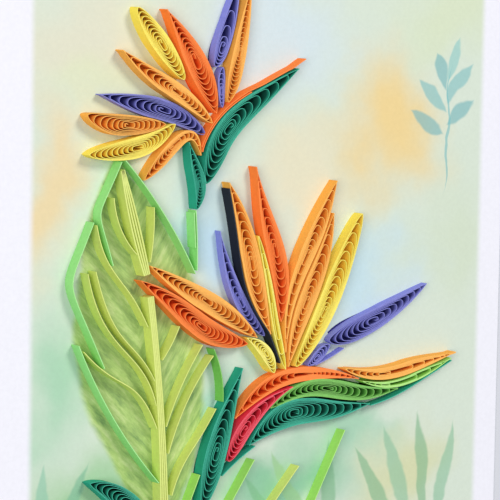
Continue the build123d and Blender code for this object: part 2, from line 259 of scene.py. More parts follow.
# 1 inside a leaf, fading out at its edge
def leafMask(tree, place, leaf, fade):
    length = (Vector(leaf["tip"]) - Vector(leaf["foot"])).length
    parts = onLeaf(tree, place, leaf, (length / 2, leaf["width"] / 2, 1))
    square = addNode(tree, "ShaderNodeMath", {
        0: parts.outputs["X"], 1: parts.outputs["X"]}, operation="MULTIPLY")
    room = addNode(tree, "ShaderNodeMath", {0: 1.0, 1: square.outputs[0]}, operation="SUBTRACT")
    across = addNode(tree, "ShaderNodeMath", {0: parts.outputs["Y"]}, operation="ABSOLUTE")
    inside = addNode(tree, "ShaderNodeMath", {
        0: room.outputs[0], 1: across.outputs[0]}, operation="SUBTRACT")
    return addNode(tree, "ShaderNodeMapRange", {
        "Value": inside.outputs[0], "From Min": 0.0, "From Max": fade},
        interpolation_type="SMOOTHSTEP").outputs["Result"]


# the broad leaf's green, with its streaks mirrored in its rib
def mottledGreen(tree, place):
    parts = onLeaf(tree, place, broadLeaf)
    besideRib = addNode(tree, "ShaderNodeMath", {0: parts.outputs["Y"]}, operation="ABSOLUTE")
    folded = addNode(tree, "ShaderNodeCombineXYZ", {
        "X": parts.outputs["X"], "Y": besideRib.outputs[0]})
    streaked = addNode(tree, "ShaderNodeMapping", {
        "Vector": folded.outputs[0], "Rotation": (0, 0, broadLeaf["slant"]),
        "Scale": broadLeaf["streak"]}, vector_type="TEXTURE")
    blotches = addNode(tree, "ShaderNodeTexNoise", {
        "Vector": streaked.outputs[0], "Scale": 1 / broadLeaf["mottleSize"], "Detail": 6.0,
        "Roughness": broadLeaf["mottleRoughness"]})
    green = fromHex(broadLeaf["colour"])
    for blotch, fullAt in (("dark", "darkAt"), ("pale", "paleAt")):
        share = addNode(tree, "ShaderNodeMapRange", {
            "Value": blotches.outputs["Fac"], "From Min": broadLeaf["plainAt"],
            "From Max": broadLeaf[fullAt]})
        green = addNode(tree, "ShaderNodeMix", {
            "Factor": share.outputs["Result"], "A": green, "B": fromHex(broadLeaf[blotch])},
            data_type="RGBA").outputs["Result"]
    return green


def printedCard():
    material = bpy.data.materials.new("printedCardStock")
    material.use_nodes = True
    tree = material.node_tree
    tree.nodes.clear()
    place = addNode(tree, "ShaderNodeTexCoord").outputs["Object"]
    inMm = addNode(tree, "ShaderNodeVectorMath", {
        0: place, "Scale": 1 / mm}, operation="SCALE").outputs[0]
    noise = addNode(tree, "ShaderNodeTexNoise", {
        "Vector": inMm, "Scale": 1 / cardPrint["wanderSize"], "Detail": 4.0})
    centred = addNode(tree, "ShaderNodeVectorMath", {
        0: noise.outputs["Color"], 1: (0.5, 0.5, 0.5)}, operation="SUBTRACT")

    def wandering(reach):
        aside = addNode(tree, "ShaderNodeVectorMath", {
            0: centred.outputs[0], "Scale": reach}, operation="SCALE")
        return addNode(tree, "ShaderNodeVectorMath", {
            0: inMm, 1: aside.outputs[0]}, operation="ADD").outputs[0]

    loose = wandering(cardPrint["washWander"])
    nearly = wandering(cardPrint["leafWander"])
    printed = fromHex(cardPrint["ground"])
    for wash in washes:
        local = addNode(tree, "ShaderNodeMapping", {
            "Vector": loose, "Location": (*wash["at"], 0),
            "Scale": (*wash["size"], cardPrint["washHeight"])}, vector_type="TEXTURE")
        reach = addNode(tree, "ShaderNodeVectorMath", {0: local.outputs[0]}, operation="LENGTH")
        mask = addNode(tree, "ShaderNodeMapRange", {
            "Value": reach.outputs["Value"], "From Min": cardPrint["washEnd"],
            "From Max": cardPrint["washHeart"], "To Max": wash["strength"]},
            interpolation_type="SMOOTHSTEP")
        printed = addNode(tree, "ShaderNodeMix", {
            "Factor": mask.outputs["Result"], "A": printed, "B": fromHex(wash["colour"])},
            data_type="RGBA").outputs["Result"]
    leafColours = [(broadLeaf, mottledGreen(tree, inMm))]
    leafColours += [(leaf, fromHex(leaf["colour"])) for leaf in printedLeaves]
    for leaf, colour in leafColours:
        mask = leafMask(tree, nearly, leaf, leaf.get("fade", cardPrint["leafFade"]))
        share = addNode(tree, "ShaderNodeMath", {
            0: mask, 1: leaf.get("strength", cardPrint["leafStrength"])}, operation="MULTIPLY")
        printed = addNode(tree, "ShaderNodeMix", {
            "Factor": share.outputs[0], "A": printed, "B": colour},
            data_type="RGBA").outputs["Result"]
    normal = addNode(tree, "ShaderNodeNewGeometry").outputs["Normal"]
    upward = addNode(tree, "ShaderNodeSeparateXYZ", {"Vector": normal}).outputs["Z"]
    inside = addNode(tree, "ShaderNodeMapRange", {
        "Value": upward, **levelRange}).outputs["Result"]
    across = addNode(tree, "ShaderNodeSeparateXYZ", {"Vector": inMm}).outputs["X"]
    for border, inwards in (("left", 1), ("right", -1)):
        halfFade = inwards * cardPrint["fade"] / 2
        within = addNode(tree, "ShaderNodeMapRange", {
            "Value": across, "From Min": cardPrint[border] - halfFade,
            "From Max": cardPrint[border] + halfFade}, interpolation_type="SMOOTHSTEP")
        inside = addNode(tree, "ShaderNodeMath", {
            0: inside, 1: within.outputs["Result"]}, operation="MULTIPLY").outputs[0]
    whole = addNode(tree, "ShaderNodeMix", {
        "Factor": inside, "A": fromHex(cardPrint["stock"]), "B": printed}, data_type="RGBA")
    grain = addNode(tree, "ShaderNodeTexNoise", {
        "Vector": inMm, "Scale": 1 / cardPrint["grainSize"], "Detail": 2.0})
    value = addNode(tree, "ShaderNodeMapRange", {
        "Value": grain.outputs["Fac"], **noiseRange,
        "To Min": 1 - cardPrint["grain"], "To Max": 1 + cardPrint["grain"]})
    grained = addNode(tree, "ShaderNodeHueSaturation", {
        "Color": whole.outputs["Result"], "Value": value.outputs["Result"]})
    shader = addNode(tree, "ShaderNodeBsdfPrincipled", {
        "Base Color": grained.outputs["Color"], "Roughness": cardPrint["roughness"],
        "Specular IOR Level": cardPrint["specular"]})
    addNode(tree, "ShaderNodeOutputMaterial", {"Surface": shader.outputs["BSDF"]})
    return material


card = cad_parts["backing_card"]
card.data.materials.clear()
card.data.materials.append(printedCard())
print("card printed")


# Paper strips, stood on edge along a path

# Turns a path of vertices and edges into a strip of paper that stands on it, and keeps the
# faces that are marked as ground.
def stripTree():
    tree = bpy.data.node_groups.new("stripOnEdge", "GeometryNodeTree")
    tree.is_modifier = True
    sockets = tree.interface
    sockets.new_socket("Geometry", in_out="INPUT", socket_type="NodeSocketGeometry")
    for label in ("Paper Thickness", "Strip Height"):
        sockets.new_socket(label, in_out="INPUT", socket_type="NodeSocketFloat")
    sockets.new_socket("Paper", in_out="INPUT", socket_type="NodeSocketMaterial")
    sockets.new_socket("Geometry", in_out="OUTPUT", socket_type="NodeSocketGeometry")
    given = addNode(tree, "NodeGroupInput").outputs
    tone = addNode(tree, "GeometryNodeInputNamedAttribute", {"Name": "groundTone"},
                   data_type="FLOAT").outputs["Attribute"]
    isPath = addNode(tree, "ShaderNodeMath", {0: tone, 1: 0.5}, operation="LESS_THAN")
    curve = addNode(tree, "GeometryNodeMeshToCurve", {
        "Mesh": given["Geometry"], "Selection": isPath.outputs[0]})
    groundOnly = addNode(tree, "GeometryNodeDeleteGeometry", {
        "Geometry": given["Geometry"], "Selection": isPath.outputs[0]})
    upright = addNode(tree, "GeometryNodeSetCurveNormal", {
        "Curve": curve.outputs["Curve"]}, mode="Z_UP")
    section = addNode(tree, "GeometryNodeCurvePrimitiveQuadrilateral", {
        "Width": given["Paper Thickness"], "Height": given["Strip Height"]})
    swept = addNode(tree, "GeometryNodeCurveToMesh", {
        "Curve": upright.outputs["Curve"], "Profile Curve": section.outputs["Curve"],
        "Fill Caps": True})
    half = addNode(tree, "ShaderNodeMath", {
        0: given["Strip Height"], 1: 0.5}, operation="MULTIPLY")
    lift = addNode(tree, "ShaderNodeCombineXYZ", {"Z": half.outputs[0]})
    standing = addNode(tree, "GeometryNodeSetPosition", {
        "Geometry": swept.outputs["Mesh"], "Offset": lift.outputs[0]})
    height = addNode(tree, "ShaderNodeSeparateXYZ", {
        "Vector": addNode(tree, "GeometryNodeInputPosition").outputs[0]}).outputs["Z"]
    top = addNode(tree, "ShaderNodeMath", {
        0: given["Strip Height"], 1: cardTop * mm}, operation="ADD")
    below = addNode(tree, "ShaderNodeMath", {0: top.outputs[0], 1: height},
                    operation="SUBTRACT")
    standing = addNode(tree, "GeometryNodeStoreNamedAttribute", {
        "Geometry": standing.outputs["Geometry"], "Name": "belowTop",
        "Value": below.outputs[0]}, data_type="FLOAT")
    both = addNode(tree, "GeometryNodeJoinGeometry")
    tree.links.new(groundOnly.outputs["Geometry"], both.inputs["Geometry"])
    tree.links.new(standing.outputs["Geometry"], both.inputs["Geometry"])
    real = addNode(tree, "GeometryNodeRealizeInstances", {"Geometry": both.outputs["Geometry"]})
    dressed = addNode(tree, "GeometryNodeSetMaterial", {
        "Geometry": real.outputs["Geometry"], "Material": given["Paper"]})
    addNode(tree, "NodeGroupOutput", {"Geometry": dressed.outputs["Geometry"]})
    return tree


stripOnEdge = stripTree()
smoothBelow = math.radians(40)


# One piece of paper for each path, joined in one mesh, and the ground that they stand round.
# A path's points are (x, y, z, shade, 1 in the inner turns of a coil, and for the outermost
# turn the way to the inside in x and y).
def paperPiece(node, slot, paths, thickness, ground=()):
    points = [point for path in paths for point in path] + list(ground)
    edges = []
    first = 0
    for path in paths:
        edges += [(i, i + 1) for i in range(first, first + len(path) - 1)]
        first += len(path)
    faces = [list(range(first, len(points)))] if ground else []
    mesh = bpy.data.meshes.new(node + "Path")
    mesh.from_pydata([(x * mm, y * mm, z * mm) for x, y, z, *rest in points], edges, faces)
    tones = {"turnShade": [point[3] for point in points],
             "innerTurn": [point[4] for point in points],
             "groundTone": [float(i >= first) for i in range(len(points))]}
    for label, values in tones.items():
        attribute = mesh.attributes.new(label, "FLOAT", "POINT")
        attribute.data.foreach_set("value", values)
    inward = mesh.attributes.new("inward", "FLOAT_VECTOR", "POINT")
    inward.data.foreach_set("vector", [v for point in points for v in (*point[5:], 0.0)])
    piece = bpy.data.objects.new(node + "_paper", mesh)
    bpy.context.scene.collection.objects.link(piece)
    sweep = piece.modifiers.new("stripOnEdge", "NODES")
    sweep.node_group = stripOnEdge
    solidLow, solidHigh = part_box(node)
    sizes = {"Paper Thickness": thickness * mm, "Strip Height": solidHigh.z - solidLow.z,
             "Paper": papers[slot]}
    for socket in stripOnEdge.interface.items_tree:
        if socket.name in sizes:
            sweep[socket.identifier] = sizes[socket.name]
    evaluated = piece.evaluated_get(bpy.context.evaluated_depsgraph_get())
    plain = bpy.data.meshes.new_from_object(evaluated)
    piece.modifiers.clear()
    piece.data = plain
    bpy.data.meshes.remove(mesh)
    plain.shade_smooth()
    plain.set_sharp_from_angle(angle=smoothBelow)
    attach(piece, "root")
    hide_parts(node)


# Coils

# A coil runs from its heel to its tip, both pinched. The bow is how far its middle stands off
# the straight line between them, to the left of the way from heel to tip, and the sway bends it
# into an S. Bends are the two control points of a cubic curve and take their place. The belly is
# where it is widest and the core is where the spiral ends, as shares of the length. A sharp
# value under 1 gives a round end, over 1 a long point. The core is a small loop, so long and so
# wide. The spreads set the turn ends wider apart near the heel and the tip. The lean moves the
# hollows to the left at the tip and to the right at the heel, and the skew does so with the bend
# of each turn end. The nose is the radius of that bend. The gaps between the turns grow towards
# the core, the later the higher the looser value is. The paper is its thickness. The shadow skirt
# is how far the dark print under a coil is widened past its walls, where it paints a contact
# shadow. Lengths other than shares are millimetres.
coilShape = {
    "turns": 8, "bow": 0.0, "sway": 0.0, "belly": 0.45, "heelSharp": 0.8, "tipSharp": 0.8,
    "core": 0.45, "coreLength": 2.0, "coreWidth": 0.9, "heelSpread": 1.1, "tipSpread": 1.3,
    "lean": 0.5, "skew": 0.3, "nose": 1.1, "looser": 2.2, "paper": 0.15, "bends": None,
    "skirt": 0.0,
}
winding = {
    "leg": 0.5,  # turns, from one end of the coil to the other
    "shortLeg": 0.25,  # turns, in the first leg and the last, which begin and end midway
    "outerTurn": 1.12,  # turns, up to which the paper's outer face shows on the coil's side
    "gluedEnd": 0.5,  # where along the coil the paper's outer end is glued down
    "gluedTaper": 2.5,  # mm, over which the glued end is pressed into the turn under it
    "tightest": 0.06,  # about the share of the widest gap that the outermost one has
    "unevenGaps": 0.5,  # how much the gap differs from layer to layer
    "unevenTops": 0.03,  # mm, by which a turn's top may lie lower
    "tightestNose": 0.16,  # mm, half the width of the narrowest turn end
    "noseSpacing": 0.3,  # mm, the least distance between two turn ends
    "noseStep": 0.1,  # mm, by which a turn end moves in until it has that width
    "coreTaper": 0.6,  # share of its width that the last leg loses on its way to the core
    "stationSpacing": 0.5,  # mm
    "stationsPerLeg": 12,  # besides those that the spacing asks for
}


def coil(slot, heel, tip, width, **shape):
    return {**coilShape, "slot": slot, "heel": heel, "tip": tip, "width": width, **shape}


coils = {
    "upper_yellow_petal": coil(
        "yellow_paper", (-26.1, 41.2), (-39.5, 57.9), 5.2, belly=0.5, heelSharp=0.5, tipSharp=0.5,
        core=0.5, tipSpread=1.1, looser=2.4),
    "upper_red_petal": coil(
        "red_orange_paper", (-16.7, 33.1), (-31.3, 57.4), 6.6, bow=-1.0, belly=0.35, tipSharp=1.1,
        core=0.5, turns=9, coreLength=3.0, coreWidth=1.4),
    "upper_orange_petal": coil(
        "orange_paper", (-17.9, 30.8), (-43.5, 48.1), 4.2, bow=-0.3, sway=-0.4, belly=0.44,
        heelSharp=0.55, tipSharp=0.9, core=0.43, turns=9, tipSpread=1.7),
    "upper_purple_petal": coil(
        "purple_paper", (-16.5, 44.0), (-9.3, 66.5), 4.4, bow=-0.6, belly=0.2, heelSharp=0.5,
        tipSharp=1.2, core=0.22, turns=5, coreWidth=1.2, tipSpread=1.6, looser=1.2),
    "upper_right_petal": coil(
        "orange_paper", (-13.2, 35.6), (-7.0, 63.3), 4.2, bow=-0.4, belly=0.26, heelSharp=0.65,
        tipSharp=0.85, core=0.44, turns=12, coreWidth=0.5, coreLength=1.5, paper=0.1, looser=1.8),
    "upper_purple_bud": coil(
        "purple_paper", (-14.3, 34.4), (-14.3, 43.8), 2.3, bow=0.4, belly=0.54, heelSharp=0.5,
        tipSharp=0.5, turns=4, coreWidth=0.5, coreLength=1.2),
    "left_purple_petal": coil(
        "purple_paper", (-19.3, 28.1), (-48.9, 38.0), 5.2, bow=-1.7, sway=-0.4, belly=0.47,
        heelSharp=0.5, tipSharp=1.0, core=0.43, looser=1.4, paper=0.12),
    "left_orange_petal": coil(
        "orange_paper", (-31.3, 30.8), (-53.1, 33.5), 5.0, bow=1.3, sway=-0.2, belly=0.56,
        heelSharp=0.6, tipSharp=0.55, core=0.48, turns=7, coreLength=1.5, looser=1.0, lean=0.0,
        nose=1.8, paper=0.14),
    "left_yellow_petal": coil(
        "yellow_paper", (-52.5, 24.4), (-28.6, 30.8), 5.1, bow=-2.1, sway=0.4, belly=0.52,
        heelSharp=0.55, tipSharp=0.6, core=0.56, turns=9, looser=1.8, paper=0.14),
    "left_hook_petal": coil(
        "orange_paper", (-21.1, 23.3), (-37.1, 18.0), 3.2, belly=0.75,
        bends=((-23.0, 33.3), (-28.9, 25.5)), heelSharp=0.6, tipSharp=0.7, core=0.62, turns=7,
        coreWidth=0.6, paper=0.12),
    "upper_bract": coil(
        "teal_paper", (-19.2, 16.6), (7.7, 43.2), 6.9, bow=4.4, sway=1.0, belly=0.21,
        heelSharp=0.65, tipSharp=0.9, core=0.37, turns=9, coreWidth=1.3, tipSpread=1.45,
        looser=1.4, nose=1.4, paper=0.12),
    "upper_stem_head": coil(
        "teal_paper", (-22.0, 10.6), (-24.5, 26.4), 3.4, bow=-1.5, sway=-0.4, belly=0.37,
        heelSharp=0.65, tipSharp=1.1, core=0.38, coreLength=1.2, coreWidth=0.5, looser=0.8,
        lean=0.0, nose=1.4, paper=0.08),
    "lower_orange_petal": coil(
        "orange_paper", (0.4, -20.5), (-12.6, 16.5), 5.8, bow=-0.2, sway=0.6, belly=0.41,
        heelSharp=0.95, tipSharp=0.85, core=0.49, turns=9),
    "lower_red_petal": coil(
        "red_orange_paper", (3.5, -17.6), (-4.7, 20.0), 5.6, bow=-1.5, sway=-0.7, belly=0.37,
        heelSharp=0.7, tipSharp=1.3, core=0.47, turns=9),
    "lower_lime_petal": coil(
        "lime_paper", (5.1, -29.4), (-3.7, 3.4), 2.2, sway=0.3, belly=0.25, heelSharp=0.5,
        tipSharp=0.5, core=0.5, turns=3, coreLength=12.0, coreWidth=0.4, paper=0.12),
    "lower_orange_pair_left": coil(
        "orange_paper", (5.1, -25.2), (20.0, 15.8), 4.6, bow=2.6, sway=0.9, belly=0.64,
        heelSharp=0.9, tipSharp=0.9, core=0.56, turns=9),
    "lower_orange_pair_right": coil(
        "orange_paper", (6.0, -28.8), (19.2, 7.9), 5.4, sway=0.7, belly=0.44, heelSharp=0.9,
        core=0.43, turns=10),
    "lower_yellow_petal": coil(
        "yellow_paper", (8.3, -28.9), (28.2, 7.4), 6.4, bow=-1.2, sway=-0.2, belly=0.46,
        heelSharp=0.5, tipSharp=0.6, core=0.38, turns=12, paper=0.14, looser=2.6, lean=-0.4,
        coreWidth=0.8),
    "right_purple_petal": coil(
        "purple_paper", (19.3, -23.4), (50.1, -11.2), 6.1, bow=-1.3, belly=0.24, heelSharp=0.5,
        coreWidth=1.1, tipSpread=1.0, looser=1.8, lean=-0.4, paper=0.12),
    "right_purple_bud": coil(
        "purple_paper", (12.8, -29.2), (19.5, -24.4), 3.1, belly=0.5, heelSharp=0.6,
        tipSharp=0.65, core=0.43, turns=4, coreLength=1.2, coreWidth=0.6),
    "lower_purple_petal": coil(
        "purple_paper", (-0.7, -20.9), (-14.4, 5.0), 3.6, bow=2.4, sway=0.2, belly=0.35,
        heelSharp=0.5, tipSharp=1.2, core=0.39, coreWidth=0.6, paper=0.1),
    "lower_left_orange_petal": coil(
        "orange_paper", (-3.7, -21.0), (-35.0, -2.2), 5.3, bow=-0.5, sway=-0.2, belly=0.4,
        heelSharp=0.7, core=0.5, turns=11, looser=2.8),
    "lower_left_red_petal": coil(
        "red_orange_paper", (-6.5, -22.4), (-37.6, -5.5), 6.0, bow=1.7, sway=0.8, belly=0.35,
        heelSharp=0.65, core=0.42, turns=10, looser=3.2),
    "lime_bud": coil(
        "lime_paper", (1.6, -30.0), (-6.6, -21.0), 3.5, bow=-1.5, belly=0.38, heelSharp=0.5,
        core=0.46, turns=6, coreLength=1.2, coreWidth=0.5),
    "bract_red_coil": coil(
        "red_orange_paper", (-9.8, -40.1), (27.9, -33.4), 4.1, bow=5.8, sway=0.6, belly=0.32,
        core=0.6, turns=9, coreLength=5.0, coreWidth=0.7, looser=3.0),
    "bract_orange_coil": coil(
        "orange_paper", (23.8, -30.7), (59.4, -29.1), 3.4, bow=-2.3, sway=-0.6, belly=0.49,
        heelSharp=0.5, tipSharp=1.1, core=0.37, turns=6, coreWidth=0.6, tipSpread=0.6, looser=1.0,
        paper=0.19),
    # The next three bract coils have a shadow skirt: their dark print reaches past the walls as a
    # painted contact shadow.
    "bract_bright_green_coil": coil(
        "bright_green_paper", (29.4, -34.2), (57.9, -30.5), 2.1, bow=-2.6, sway=-0.4, belly=0.6,
        heelSharp=0.5, tipSharp=1.2, core=0.27, turns=4, coreLength=1.2, coreWidth=0.4,
        tipSpread=0.6, looser=1.0, paper=0.14, skirt=0.5),
    "bract_green_coil": coil(
        "mid_green_paper", (0.8, -38.5), (40.6, -36.9), 4.7, bow=2.3, sway=1.6, belly=0.48,
        heelSharp=0.65, tipSharp=0.9, core=0.46, turns=10, coreWidth=0.6, paper=0.12, skirt=0.6),
    "bract_teal_coil": coil(
        "teal_paper", (-5.5, -47.0), (31.6, -40.0), 6.8, bow=3.5, sway=1.4, belly=0.33,
        heelSharp=0.9, tipSharp=0.95, core=0.4, turns=10, coreLength=1.8, coreWidth=1.4,
        looser=1.3, nose=1.6, paper=0.12, skirt=0.6),
    "bract_pink_coil": coil(
        "pink_paper", (-11.7, -50.3), (7.5, -33.9), 4.6, bow=2.8, belly=0.23, heelSharp=0.5,
        tipSharp=1.1, core=0.33, turns=7, coreWidth=1.1, looser=1.4, paper=0.12),
    "lower_stem": coil(
        "teal_paper", (-19.3, -61.6), (-7.8, -28.2), 6.7, bow=0.8, belly=0.33, heelSharp=0.75,
        tipSharp=1.1, core=0.41, turns=9, coreWidth=1.1, looser=1.5, paper=0.12),
    "bottom_teal_coil": coil(
        "teal_paper", (-31.5, -64.9), (-51.5, -51.9), 7.0, bow=-0.8, sway=0.6, belly=0.3,
        tipSharp=0.7, core=0.46, paper=0.12),
}


# a point on the middle line of a piece, and the unit vector that points to its left
def middleLine(piece, t):
    heel, tip = Vector(piece["heel"]), Vector(piece["tip"])
    if piece["bends"]:
        first, second = (Vector(bend) for bend in piece["bends"])
        s = 1 - t
        point = heel * s**3 + first * (3 * s * s * t) + second * (3 * s * t * t) + tip * t**3
        along = ((first - heel) * (s * s) + (second - first) * (2 * s * t)
                 + (tip - second) * (t * t))
    else:
        run = tip - heel
        across = Vector((-run.y, run.x)) / run.length
        turn = 2 * math.pi
        offset = piece["bow"] * 4 * t * (1 - t) + piece["sway"] * math.sin(turn * t)
        slope = piece["bow"] * 4 * (1 - 2 * t) + piece["sway"] * turn * math.cos(turn * t)
        point = heel + run * t + across * offset
        along = run + across * slope
    return point, Vector((-along.y, along.x)) / along.length


def middleLength(piece, steps=24):
    points = [middleLine(piece, i / steps)[0] for i in range(steps + 1)]
    return sum((b - a).length for a, b in zip(points, points[1:]))


def halfWidth(piece, t):
    if t < piece["belly"]:
        reach, sharp = t / piece["belly"], piece["heelSharp"]
    else:
        reach, sharp = (1 - t) / (1 - piece["belly"]), piece["tipSharp"]
    return piece["width"] / 2 * max(math.sin(math.pi / 2 * reach), 0) ** sharp


# The middle of a coil's paper, from its glued end to its core. Each turn lies against the one
# outside it along the sides and turns back sooner at both ends.
def coilPath(name, piece):
    rng = random.Random(name)
    length = middleLength(piece)
    turns, core, paper = piece["turns"], piece["core"], piece["paper"]
    uneven = winding["unevenGaps"]
    room = max(halfWidth(piece, core) - paper / 2 - piece["coreWidth"] / 2 - turns * paper, 0)
    gaps = {}
    for side in (1, -1):
        loose = [(winding["tightest"] + (turn / turns) ** piece["looser"])
                 * rng.uniform(1 - uneven, 1 + uneven) for turn in range(turns + 2)]
        gaps[side] = [gap * room / sum(loose[:turns]) for gap in loose]
    shades = [rng.random() for turn in range(turns + 3)]
    drops = [rng.random() * winding["unevenTops"] for turn in range(turns + 3)]

    def between(values, wound):
        turn = int(wound)
        share = wound - turn
        return values[turn] * (1 - share) + values[turn + 1] * share

    # from -1 at the heel through 0 at the core to 1 at the tip
    def reachFromCore(t):
        return (t - core) / (1 - core) if t > core else (t - core) / core

    # how far in from the outline a layer lies on one side
    def depth(side, t, wound):
        layers = max(wound if side > 0 else wound - winding["leg"], 0)
        whole = min(int(layers), turns)
        air = sum(gaps[side][:whole]) + gaps[side][whole] * (layers - whole)
        return paper * layers + air * (1 - side * piece["lean"] * reachFromCore(t))

    # the middle of the hollow inside that many turns, and half its width
    def hollow(t, wound):
        outer = halfWidth(piece, t) - paper / 2
        left = outer - depth(1, t, wound)
        right = depth(-1, t, wound) - outer
        return (left + right) / 2, (left - right) / 2

    def turnEnds(direction, end, spread, firstWound):
        inner = core + direction * piece["coreLength"] / 2 / length
        ends = [end]
        for turn in range(1, turns + 1):
            t = end + (inner - end) * (1 - (1 - turn / turns) ** spread)
            step = winding["noseSpacing"] / length
            t = min(t, ends[-1] - step) if direction > 0 else max(t, ends[-1] + step)
            while (direction * (t - core) > 0
                   and hollow(t, turn + firstWound)[1] < winding["tightestNose"]):
                t -= direction * winding["noseStep"] / length
            ends.append(t)
        return ends

    highEnds = turnEnds(1, 1, piece["tipSpread"], winding["shortLeg"])
    lowEnds = turnEnds(-1, 0, piece["heelSpread"], winding["shortLeg"] + winding["leg"])
    path = []
    wound = 0.0
    side = 1
    lastLeg = 2 * turns + 1
    for leg in range(lastLeg + 1):
        low, high = lowEnds[max(leg - 1, 0) // 2], highEnds[leg // 2]
        begin, finish = (low, high) if side > 0 else (high, low)
        share = winding["leg"]
        if leg == 0:
            begin, share = winding["gluedEnd"], winding["shortLeg"]
        if leg == lastLeg:
            finish, share = core, winding["shortLeg"]
        run = abs(finish - begin) * length
        stations = winding["stationsPerLeg"] + int(run / winding["stationSpacing"])
        for i in range(0 if leg == 0 else 1, stations + 1):
            eased = (1 - math.cos(math.pi * i / stations)) / 2
            t = begin + (finish - begin) * eased
            turned = wound + share * eased
            middle, half = hollow(t, turned)
            half = max(half, paper / 2)
            skew = piece["skew"] * reachFromCore(t)
            fromLow = (t - low) * length if leg else length
            fromHigh = (high - t) * length
            if leg == 0:
                pressed = max(1 - (t - begin) * length / winding["gluedTaper"], 0)
                half -= paper * pressed
            if leg == lastLeg:
                fromLow = length
                half *= 1 - winding["coreTaper"] * eased
            nose = math.sqrt(2 * piece["nose"] * max(min(fromLow, fromHigh), 0))
            arm = half * (1 - side * skew)
            lateral = middle + half * skew + side * arm * math.tanh(nose / arm)
            point, left = middleLine(piece, t)
            place = point + left * lateral
            path.append((place.x, place.y, cardTop - between(drops, turned),
                         between(shades, turned), float(turned > winding["outerTurn"]),
                         *(left * -side if turned <= winding["outerTurn"] else (0.0, 0.0))))
        wound += share
        side = -side
    return path


# The print under a coil in its ground colour, dark enough to paint the shade deep inside the coil.
groundPrintAndShade = {
    "inset": 0.9,  # share of the coil's width that it covers
    "height": 0.02,  # mm above the card
    "steps": 24,  # along the coil
}


# the ground inside a coil's outline, as a thin print just above the card, dark enough to paint the
# shade inside the coil; the shadow skirt widens it past the walls as a painted contact shadow
def coilGround(piece):
    left, right = [], []
    for i in range(1, groundPrintAndShade["steps"]):
        t = i / groundPrintAndShade["steps"]
        point, side = middleLine(piece, t)
        for edge, sign in ((left, 1), (right, -1)):
            reach = halfWidth(piece, t) * groundPrintAndShade["inset"] + piece["skirt"]
            place = point + side * sign * reach
            edge.append((place.x, place.y, cardTop + groundPrintAndShade["height"], 1.0, 0.0, 0.0, 0.0))
    return right + left[::-1]


for name, piece in coils.items():
    paperPiece(name, piece["slot"], [coilPath(name, piece)], piece["paper"],
               coilGround(piece))
print("coils wound:", len(coils))


# Single strips and bundles
stripPaper = {
    "thickness": 0.22,  # mm
    "bundled": 0.39,  # mm, the thicker paper of the midribs
    "stations": 40,  # along a strip
    "layerGap": 0.25,  # mm, between two layers
    "edgeGap": 0.2,  # mm, between a coil and the strip along it
    "pinched": 0.24,  # mm, the least half width that a coil counts with at its ends
    "liftPower": 4,  # the higher, the later the strip leaves the coil
    "closing": 0.4,  # mm, by which the outer layer closes up
    "closingShare": 0.12,  # share of the coil's length over which it does so
    "edgeShades": (0.3, 0.7),  # of the inner layer and the outer one
}


def strip(slot, start, end, bow=0.0, sway=0.0, bends=None):
    return dict(slot=slot, heel=start, tip=end, bow=bow, sway=sway, bends=bends)


strips = {
    "leaf_edge_top_left": strip("light_green_paper", (-43.5, 22.5), (-45.6, -1.5),
                                bends=((-50.9, 7.4), (-50.6, 14.3))),
    "leaf_edge_left": strip("light_green_paper", (-51.1, 8.8), (-47.7, -25.3),
                            bends=((-59.0, -9.2), (-59.2, -1.1))),
    "leaf_edge_lower_left": strip("light_green_paper", (-54.9, -19.5), (-32.0, -53.6), bow=-1.7),
    "leaf_edge_right": strip("light_green_paper", (-42.4, 22.7), (-22.2, -4.6), bow=1.2),
    "leaf_edge_low_right": strip("mid_green_paper", (-16.5, -22.9), (-13.6, -35.8), bow=0.9),
    "leaf_edge_bottom_right": strip("yellow_green_paper", (-15.6, -37.3), (-28.2, -57.0),
                                    bow=-0.8, sway=0.4),
    "left_vein_1": strip("yellow_green_paper", (-45.6, 14.2), (-39.0, 0.8), bow=-1.4),
    "left_vein_2": strip("yellow_green_paper", (-50.3, 8.1), (-35.6, -16.4), bow=-1.1, sway=-0.8),
    "left_vein_3": strip("yellow_green_paper", (-52.6, -3.0), (-33.0, -35.2),
                         bends=((-48.4, -22.6), (-36.7, -21.0))),
    "left_vein_4": strip("yellow_green_paper", (-50.4, -2.6), (-33.5, -29.3),
                         bends=((-45.2, -21.4), (-39.2, -18.6))),
    "left_vein_5": strip("yellow_green_paper", (-53.5, -21.0), (-32.7, -40.7),
                         bends=((-43.2, -31.7), (-38.7, -26.8))),
    "right_vein_1": strip("yellow_green_paper", (-34.3, 11.6), (-35.2, -1.2), bow=0.4),
    "right_vein_2": strip("yellow_green_paper", (-26.6, -16.8), (-31.4, -24.5), bow=0.3),
    "right_vein_3": strip("yellow_green_paper", (-19.8, -21.7), (-30.0, -40.4), bow=-0.8),
    "right_vein_4": strip("yellow_green_paper", (-16.6, -24.5), (-29.3, -46.9), bow=-1.4),
    "purple_tail": strip("purple_paper", (15.1, -29.2), (23.9, -25.7), bow=-0.2),
    "bract_tail_left": strip("teal_paper", (-3.8, -47.4), (-13.5, -53.7), bow=-0.3),
    "bract_tail_right": strip("teal_paper", (32.0, -40.4), (58.1, -31.1), bow=-0.9, sway=-0.2),
    "grass_strip_1": strip("bright_green_paper", (-20.1, -52.8), (-24.4, -62.4)),
    "grass_strip_2": strip("bright_green_paper", (23.9, -45.9), (14.0, -64.0)),
    "grass_strip_3": strip("yellow_green_paper", (9.7, -53.5), (0.2, -64.0)),
    "grass_strip_4": strip("bright_green_paper", (-3.9, -50.7), (-12.7, -63.4)),
}
# The spread is how far the strips of a bundle stand apart where it starts, halfway and where
# it ends, in layers of the single strips.
bundles = {
    "upper_midrib": dict(
        first=strip("yellow_green_paper", (-42.9, 20.6), (-35.4, -4.0), bow=0.4),
        count=4, spread=(0.5, 1.5, 1.0)),
    "lower_midrib": dict(
        first=strip("yellow_green_paper", (-34.3, -9.2), (-29.3, -62.0), bow=0.7),
        count=4, spread=(1.0, 1.0, 1.4)),
}
